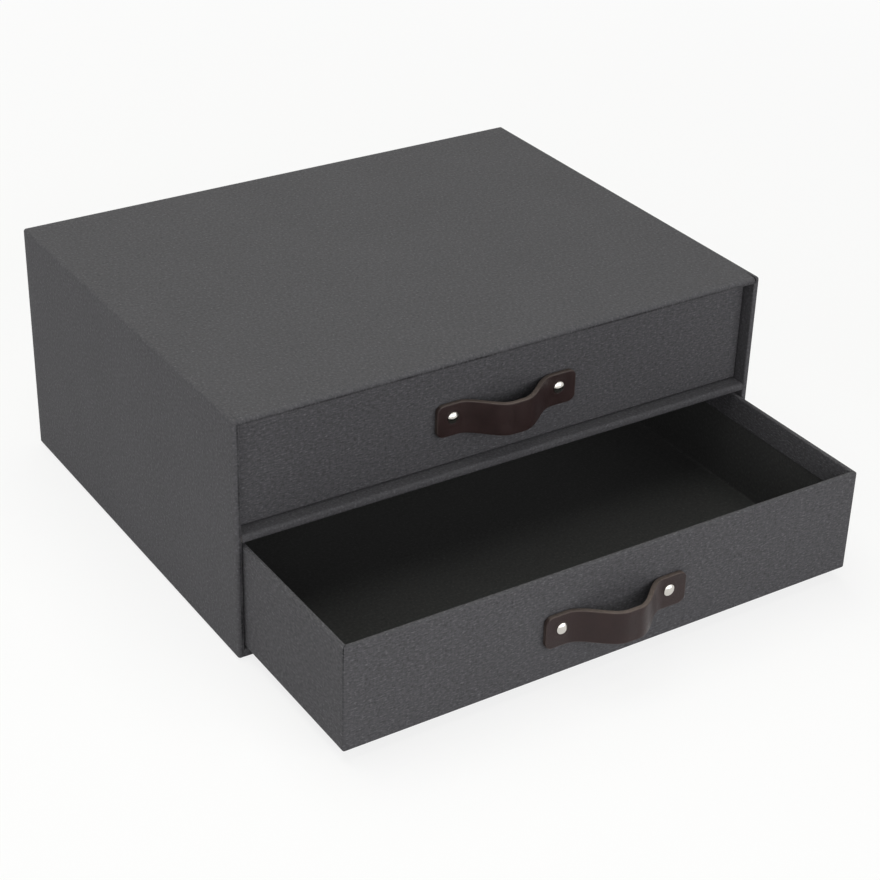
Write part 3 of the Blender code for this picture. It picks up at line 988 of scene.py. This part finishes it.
class FILEBOX_OT_drawer_coverings(bpy.types.Operator):
    """Wraps each drawer in covering paper, mitred at the rim's corners and lapped on its back."""

    bl_idname = "file_box.drawer_coverings"
    bl_label = "Drawer coverings"

    def execute(self, context):
        look = papers()
        for number, drawer in enumerate(DRAWERS):
            low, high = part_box(drawer + "_covering_paper")
            outer = rectangle_of(drawer + "_covering_paper", 0, 1)
            inner = rectangle_of(drawer + "_lining_paper", 0, 1, look.thickness)
            lap = outer[2] - LAP_STANDOFF
            across = even_stops(outer[0], outer[2], (lap - look.slit / 2, lap, lap + look.slit / 2))
            outline = Outline(across, even_stops(outer[1], outer[3]), first_side=2)
            wrap = Wrap(outer, inner, low.z, high.z, look.drawer_turn_in, outline, upright, "drawer")
            for side in range(4):
                wrap.groove(outline.corner_index(side), MITRE_DEPTH, ("rim_fold", "rim"))
            index = outline.stop_index(2, across.index(lap))
            wrap.groove(index, LAP_DEPTH, ("foot_fold", "wall", "rim_fold", "rim"), reach=look.flange)
            # A pressed line down the front-left corner, darkened with painted shade that fades from the rim
            fold_line = outline.corner_index(3) - 1
            wrap.groove(fold_line, CORNER_LINE_DEPTH, ("wall", "rim_fold"), fade=CORNER_LINE_FADE, mark=CORNER_LINE_SHADE)
            piece = wrap.build(drawer + "_covering", 20.0 + number)
            ride_as(piece, drawer, "covering_paper", drawer + "_covering_paper")
        return {"FINISHED"}


# Handles


def strap_rise(x, bow, foot, lean):
    """How far the strap's inside stands off the front at x from its screws' middle."""
    crown = handles().crown_half_length
    flank = foot - crown - (lean if x > lean else -lean)
    way = (abs(x - lean) - crown) / flank
    return bow * (1 + math.cos(math.pi * min(max(way, 0.0), 1.0))) / 2


def edge_mark(share):
    """How strongly the cut edge shows at that share of its rounding."""
    return min(1.0, EDGE_GROWTH * share)


def strap_section(half_width, half_thickness, edge):
    """The strap's section as (across, out, cut, back): its face, a rubbed edge, its back, the other edge."""
    flat = half_width - edge
    shares = [2 * step / STRAP_ACROSS - 1 for step in range(STRAP_ACROSS + 1)]
    face = [(flat * share, half_thickness, 0.0, 0.0) for share in shares]
    turns = [math.pi / 2 * step / EDGE_STEPS for step in range(1, EDGE_STEPS + 1)]
    near = []
    for turn in turns:
        along, down = edge * math.sin(turn), edge * (1 - math.cos(turn))
        near.append((flat + along, half_thickness - down, edge_mark(math.sin(turn) ** 2), 0.0))
    far = [(across, -out, 1.0, 0.0) for across, out, _, _ in reversed(near)]
    back = [(-across, -half_thickness, 0.0, 1.0) for across, _, _, _ in face]
    other = [(-across, out, cut, 0.0) for across, out, cut, _ in reversed(near + far)]
    return face + near + far + back + other


def strap_stations(half):
    """Places along the strap, closer together round its corners and its rubbed ends."""
    look = handles()
    straight = half - look.corner_radius
    turns = [math.pi / 2 * step / STRAP_CORNER_STEPS for step in range(1, STRAP_CORNER_STEPS)]
    end = [straight + look.corner_radius * math.sin(turn) for turn in turns]
    end += [half - look.edge_radius * share for share in (0.8, 0.6, 0.4, 0.2, 0.08, 0.0)]
    end = sorted(place for place in end if place <= half)
    return [-x for x in reversed(end)] + spread(-straight, straight, STRAP_PITCH) + end


def leather_swell(x, across, screws):
    """How far the leather stands up in a ring round a screw's head, or is pressed in under it."""
    near = min(math.hypot(x - screw_x, across - screw_z) for screw_x, screw_z in screws)
    ring = SWELL_HEIGHT * math.exp(-(((near - SWELL_RADIUS) / SWELL_WIDTH) ** 2))
    return ring - SEAT_DEPTH / (1 + math.exp((near - SEAT_RADIUS) * SEAT_SLOPE))


def strap_mesh(name, size, bow, foot, lean, screws):
    """The strap about its own middle on the drawer's front: x along it, y out from the front, z up."""
    look = handles()
    thickness, corner, edge = look.strap_thickness, look.corner_radius, look.edge_radius
    half, half_high = size[0] / 2, size[1] / 2
    middle_x = sum(x for x, _ in screws) / len(screws)
    stations = strap_stations(half)
    vertices, cuts, backs = [], [], []
    for x in stations:
        nearby = (x - middle_x - SLOPE_REACH, x - middle_x, x - middle_x + SLOPE_REACH)
        before, rise, after = (strap_rise(each, bow, foot, lean) for each in nearby)
        slope = (after - before) / (2 * SLOPE_REACH)
        tilt = math.hypot(1.0, slope)
        past = max(0.0, abs(x) - (half - corner))
        tip = max(0.0, abs(x) - (half - edge))
        rubbed = edge - math.sqrt(max(edge**2 - tip**2, 0.0))
        half_width = half_high - (corner - math.sqrt(max(corner**2 - past**2, 0.0)))
        half_width = max(half_width, edge * 1.5)
        half_thickness = thickness / 2 - rubbed
        middle = STRAP_STANDOFF + thickness / 2 + rise
        # Painted shade on both ends of the strap: most of the lighter cut edge is hidden there
        shaded_end = STRAP_END_SHADE if past > corner * 0.6 else 1.0
        section = strap_section(half_width, half_thickness, min(edge, half_thickness * 0.9))
        for across, out, cut, back in section:
            reach = out + HIDE_WAVE * wave((x, across, middle), scale=210, shift=(0.0, 0.0, lean * 1000))
            if not back and not cut:
                reach += leather_swell(x, across, screws)
            vertices.append((x - reach * slope / tilt, -(middle + reach / tilt), across))
            cuts.append(0.0 if back else shaded_end * max(cut, edge_mark(tip / edge)))
            backs.append(back)
    count = len(vertices) // len(stations)
    faces = [tuple(range(count)), tuple(reversed(range(len(vertices) - count, len(vertices))))]
    for first in range(0, len(vertices) - count, count):
        for index in range(count):
            second, after = first + count, (index + 1) % count
            faces.append((first + index, second + index, second + after, first + after))
    mesh = mesh_of(name, vertices, faces)
    for label, values in (("cut", cuts), ("back", backs)):
        mesh.attributes.new(label, "FLOAT", "POINT").data.foreach_set("value", values)
    return mesh


def turned(profile):
    """Points and faces turned about the Y axis: the profile is (radius, y) from one end to the other."""
    vertices, rows = [], []
    for radius, y in profile:
        count = 1 if radius == 0 else ROUND_SIDES
        rows.append((len(vertices), count))
        for side in range(count):
            angle = 2 * math.pi * side / ROUND_SIDES
            vertices.append((radius * math.cos(angle), y, radius * math.sin(angle)))
    faces = []
    for (first, first_count), (second, second_count) in zip(rows, rows[1:]):
        for side in range(ROUND_SIDES):
            after = (side + 1) % ROUND_SIDES
            corners = [first + side % first_count, first + after % first_count]
            corners += [second + after % second_count, second + side % second_count]
            faces.append(list(dict.fromkeys(corners)))
    return vertices, faces


def middle_of(node):
    low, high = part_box(node)
    return (low + high) / 2


class FILEBOX_OT_straps(bpy.types.Operator):
    """Bends a leather strap onto each drawer's front."""

    bl_idname = "file_box.straps"
    bl_label = "Leather straps"

    def execute(self, context):
        look = handles()
        colours = {"colour": look.leather_colour, "edge_colour": look.cut_edge_colour}
        leather = kept(leather_finish, "brown_strap_leather", **colours)
        for drawer, lean in zip(DRAWERS, (look.upper_lean, look.lower_lean)):
            low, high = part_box(drawer + "_handle_strap")
            centre = (low + high) / 2
            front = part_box(drawer + "_covering_paper")[0].y
            heads = [middle_of(f"{drawer}_{side}_screw") - centre for side in SIDES]
            head_low, head_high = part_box(f"{drawer}_left_screw")
            foot = (heads[1].x - heads[0].x - (head_high.x - head_low.x)) / 2
            bow = high.y - low.y - look.strap_thickness
            screws = [(head.x, head.z) for head in heads]
            size = (high.x - low.x, high.z - low.z)
            mesh = strap_mesh(drawer + "_strap", size, bow, foot, lean, screws)
            mesh.transform(Matrix.Translation((centre.x, front, centre.z)))
            piece = object_with(drawer + "_strap", mesh, leather)
            ride_as(piece, drawer, "leather", drawer + "_handle_strap")
        return {"FINISHED"}


def screw_profile(radius, seat, post, end):
    """A domed head with an upright rim, seated in the leather, and its post, as (radius, y)."""
    look = handles()
    shoulder = seat - look.head_rim
    curve = (radius**2 + look.head_dome**2) / (2 * look.head_dome)
    top = shoulder - look.head_dome
    turns = [math.asin(radius / curve) * step / DOME_STEPS for step in range(DOME_STEPS + 1)]
    profile = [(curve * math.sin(turn), top + curve * (1 - math.cos(turn))) for turn in turns]
    return profile + [(radius, shoulder + HEAD_SEAT), (radius, seat), (post, seat), (post, end), (0.0, end)]


def steady_mesh(name, made):
    """A mesh of what was made, its points and faces in an order that is the same each run."""
    digits = 7
    loops = []
    for face in made.faces:
        loops.append([tuple(round(part, digits) for part in vertex.co) for vertex in face.verts])
    points = sorted({point for loop in loops for point in loop})
    number = {point: index for index, point in enumerate(points)}
    faces = []
    for loop in loops:
        corners = [number[point] for point in loop]
        least = corners.index(min(corners))
        faces.append(corners[least:] + corners[:least])
    return mesh_of(name, points, sorted(faces))


def cap_mesh(name, radius, inside, outside):
    """A flat round cap with a softened edge and a screwdriver's slot across its face."""
    ends = [(radius - CAP_EDGE, inside), (radius - CAP_EDGE, outside)]
    sides = [(radius, inside + CAP_EDGE), (radius, outside - CAP_EDGE)]
    vertices, faces = turned([ends[0], *sides, ends[1]])
    count = len(vertices)
    faces += [range(ROUND_SIDES)[::-1], range(count - ROUND_SIDES, count)]
    made = bmesh.new()
    corners = [made.verts.new(place) for place in vertices]
    for face in faces:
        made.faces.new([corners[index] for index in face])
    for z in (-SLOT_HALF_WIDTH, SLOT_HALF_WIDTH):
        everything = [*made.verts, *made.edges, *made.faces]
        bmesh.ops.bisect_plane(made, geom=everything, plane_co=(0, 0, z), plane_no=(0, 0, 1))
    middles = [(face, face.calc_center_median()) for face in made.faces]
    on_face = [(face, middle) for face, middle in middles if middle.y > outside - CAP_EDGE / 4]
    floor = [face for face, middle in on_face if abs(middle.z) < SLOT_HALF_WIDTH]
    sunk = bmesh.ops.extrude_face_region(made, geom=floor)
    lowered = [item for item in sunk["geom"] if isinstance(item, bmesh.types.BMVert)]
    bmesh.ops.translate(made, verts=lowered, vec=(0, -SLOT_DEPTH, 0))
    bmesh.ops.delete(made, geom=floor, context="FACES_ONLY")
    mesh = steady_mesh(name, made)
    made.free()
    return mesh


class FILEBOX_OT_screws(bpy.types.Operator):
    """Sets a domed screw through each end of the straps, with its slotted cap inside the drawer."""

    bl_idname = "file_box.screws"
    bl_label = "Screws and caps"

    def execute(self, context):
        look = handles()
        nickel = kept(nickel_finish, "bright_nickel_plate", colour=look.nickel_colour)
        for drawer in DRAWERS:
            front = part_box(drawer + "_covering_paper")[0].y
            seat = front - STRAP_STANDOFF - look.strap_thickness + HEAD_SEAT
            for side in SIDES:
                screw = f"{drawer}_{side}_screw"
                (low, high), (cap_low, cap_high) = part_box(screw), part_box(screw + "_cap")
                radius, cap_radius = (high.x - low.x) / 2, (cap_high.x - cap_low.x) / 2
                profile = screw_profile(radius, seat, radius * POST_SHARE, high.y)
                head = mesh_of(screw + "_head", *turned(profile))
                cap = cap_mesh(screw + "_slotted_cap", cap_radius, cap_high.y - CAP_THICKNESS, cap_high.y)
                for mesh, node in ((head, screw), (cap, screw + "_cap")):
                    mesh.transform(Matrix.Translation(((low.x + high.x) / 2, 0.0, (low.z + high.z) / 2)))
                    ride_as(object_with(mesh.name, mesh, nickel, METAL_ANGLE), drawer, "nickel", node)
        return {"FINISHED"}


class FILEBOX_OT_boards(bpy.types.Operator):
    """Gives the greyboards under the papers their own finish."""

    bl_idname = "file_box.boards"
    bl_label = "Greyboards"

    def execute(self, context):
        grey = kept(board_finish, "pulped_board", colour=papers().board_colour)
        for name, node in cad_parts.items():
            if name.endswith("_board"):
                node.data.materials.clear()
                node.data.materials.append(grey)
        return {"FINISHED"}


def area_lamp(name, power, size, place, colour):
    """A rectangular lamp that faces the box."""
    lamp = bpy.data.lights.new(name, "AREA")
    lamp.energy = power
    lamp.color = colour
    lamp.shape = "RECTANGLE"
    lamp.size, lamp.size_y = size
    made = placed(name, lamp)
    made.location = place
    made.rotation_mode = "QUATERNION"
    made.rotation_quaternion = (LAMP_TARGET - Vector(place)).to_track_quat("-Z", "Y")


class FILEBOX_OT_stage(bpy.types.Operator):
    """Sets up the floor, the lamps, the room's light and the camera."""

    bl_idname = "file_box.stage"
    bl_label = "Stage"

    def execute(self, context):
        look = stage_settings()
        scene = context.scene
        scene.view_settings.view_transform = "Standard"

        finish = Finish("floor_paint")
        finish.tree.nodes.remove(finish.shader)
        lit = finish.node("ShaderNodeBsdfDiffuse", None, {"Color": (*look.floor_colour, 1.0)})
        white = finish.node("ShaderNodeEmission", None, {"Color": WHITE, "Strength": 1.0})
        away = finish.node("ShaderNodeVectorMath", {"operation": "LENGTH"}, {0: finish.own_place()}, output=1)
        far = finish.ramp(away * 0.25, (0.1, 0.0), (0.35, 1.0))
        share = finish.seen() * (far * (1 - look.floor_glow) + look.floor_glow)
        surface = finish.node("ShaderNodeMixShader", None, {0: share, 1: lit, 2: white})
        finish.feed(finish.tree.nodes["Material Output"], {"Surface": surface})
        corners = [(x * FLOOR_REACH, y * FLOOR_REACH, 0.0) for x, y in ((-1, -1), (1, -1), (1, 1), (-1, 1))]
        floor = placed("floor", mesh_of("floor", corners, [(0, 1, 2, 3)]))
        floor.data.materials.append(finish.material)

        world = bpy.data.worlds.new("room")
        world.use_nodes = True
        scene.world = world
        room = Nodes(world.node_tree)
        dim = room.node("ShaderNodeBackground", None, {"Color": WHITE, "Strength": look.world_light})
        white = room.node("ShaderNodeBackground", None, {"Color": WHITE, "Strength": 1.0})
        mix = room.node("ShaderNodeMixShader", None, {0: room.seen(), 1: dim, 2: white})
        room.feed(world.node_tree.nodes["World Output"], {"Surface": mix})

        for name, power, size, place in (
            ("top_lamp", look.top_light, (1.6, 1.6), (-0.1, 0.0, 1.7)),
            ("back_lamp", look.back_light, (1.6, 1.6), (-0.1, 0.6, 1.6)),
            ("left_lamp", look.left_light, (1.2, 1.2), (-1.6, -0.4, 0.9)),
            ("side_lamp", look.side_light, (1.2, 1.2), (-1.7, 0.6, 0.7)),
            ("front_lamp", look.front_light, (3.0, 0.8), (0.0, -1.6, 0.72)),
        ):
            area_lamp(name, power, size, place, look.overhead_colour if place[2] > 1.5 else WHITE[:3])

        camera = bpy.data.cameras.new("camera")
        camera.lens = look.camera_lens
        camera.sensor_width = 36.0
        made = placed("camera", camera)
        made.location = look.camera_place
        made.rotation_mode = "QUATERNION"
        made.rotation_quaternion = Quaternion(look.camera_turn)
        scene.camera = made
        return {"FINISHED"}


PIECES = (
    FILEBOX_OT_boards,
    FILEBOX_OT_case_covering,
    FILEBOX_OT_shelf_covering,
    FILEBOX_OT_flat_sheets,
    FILEBOX_OT_linings,
    FILEBOX_OT_drawer_coverings,
    FILEBOX_OT_straps,
    FILEBOX_OT_screws,
    FILEBOX_OT_stage,
)


class FILEBOX_PT_pieces(bpy.types.Panel):
    """Lists the sizes and colours, and a button for each group of pieces."""

    bl_idname = "FILEBOX_PT_pieces"
    bl_label = "File Box"
    bl_space_type = "VIEW_3D"
    bl_region_type = "UI"
    bl_category = "File Box"

    def draw(self, context):
        for settings in (papers(), handles(), stage_settings()):
            column = self.layout.column(align=True)
            for name in settings.__annotations__:
                column.prop(settings, name)
        for piece in PIECES:
            self.layout.operator(piece.bl_idname)


CLASSES = (PaperSettings, HandleSettings, StageSettings, *PIECES, FILEBOX_PT_pieces)


def register():
    for each in CLASSES:
        bpy.utils.register_class(each)
    bpy.types.Scene.file_box_papers = PointerProperty(type=PaperSettings)
    bpy.types.Scene.file_box_handles = PointerProperty(type=HandleSettings)
    bpy.types.Scene.file_box_stage = PointerProperty(type=StageSettings)


def unregister():
    del bpy.types.Scene.file_box_stage
    del bpy.types.Scene.file_box_handles
    del bpy.types.Scene.file_box_papers
    for each in reversed(CLASSES):
        bpy.utils.unregister_class(each)


def main():
    register()
    for piece in PIECES:
        group, name = piece.bl_idname.split(".")
        getattr(getattr(bpy.ops, group), name)()
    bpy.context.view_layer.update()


if __name__ == "__main__":
    main()
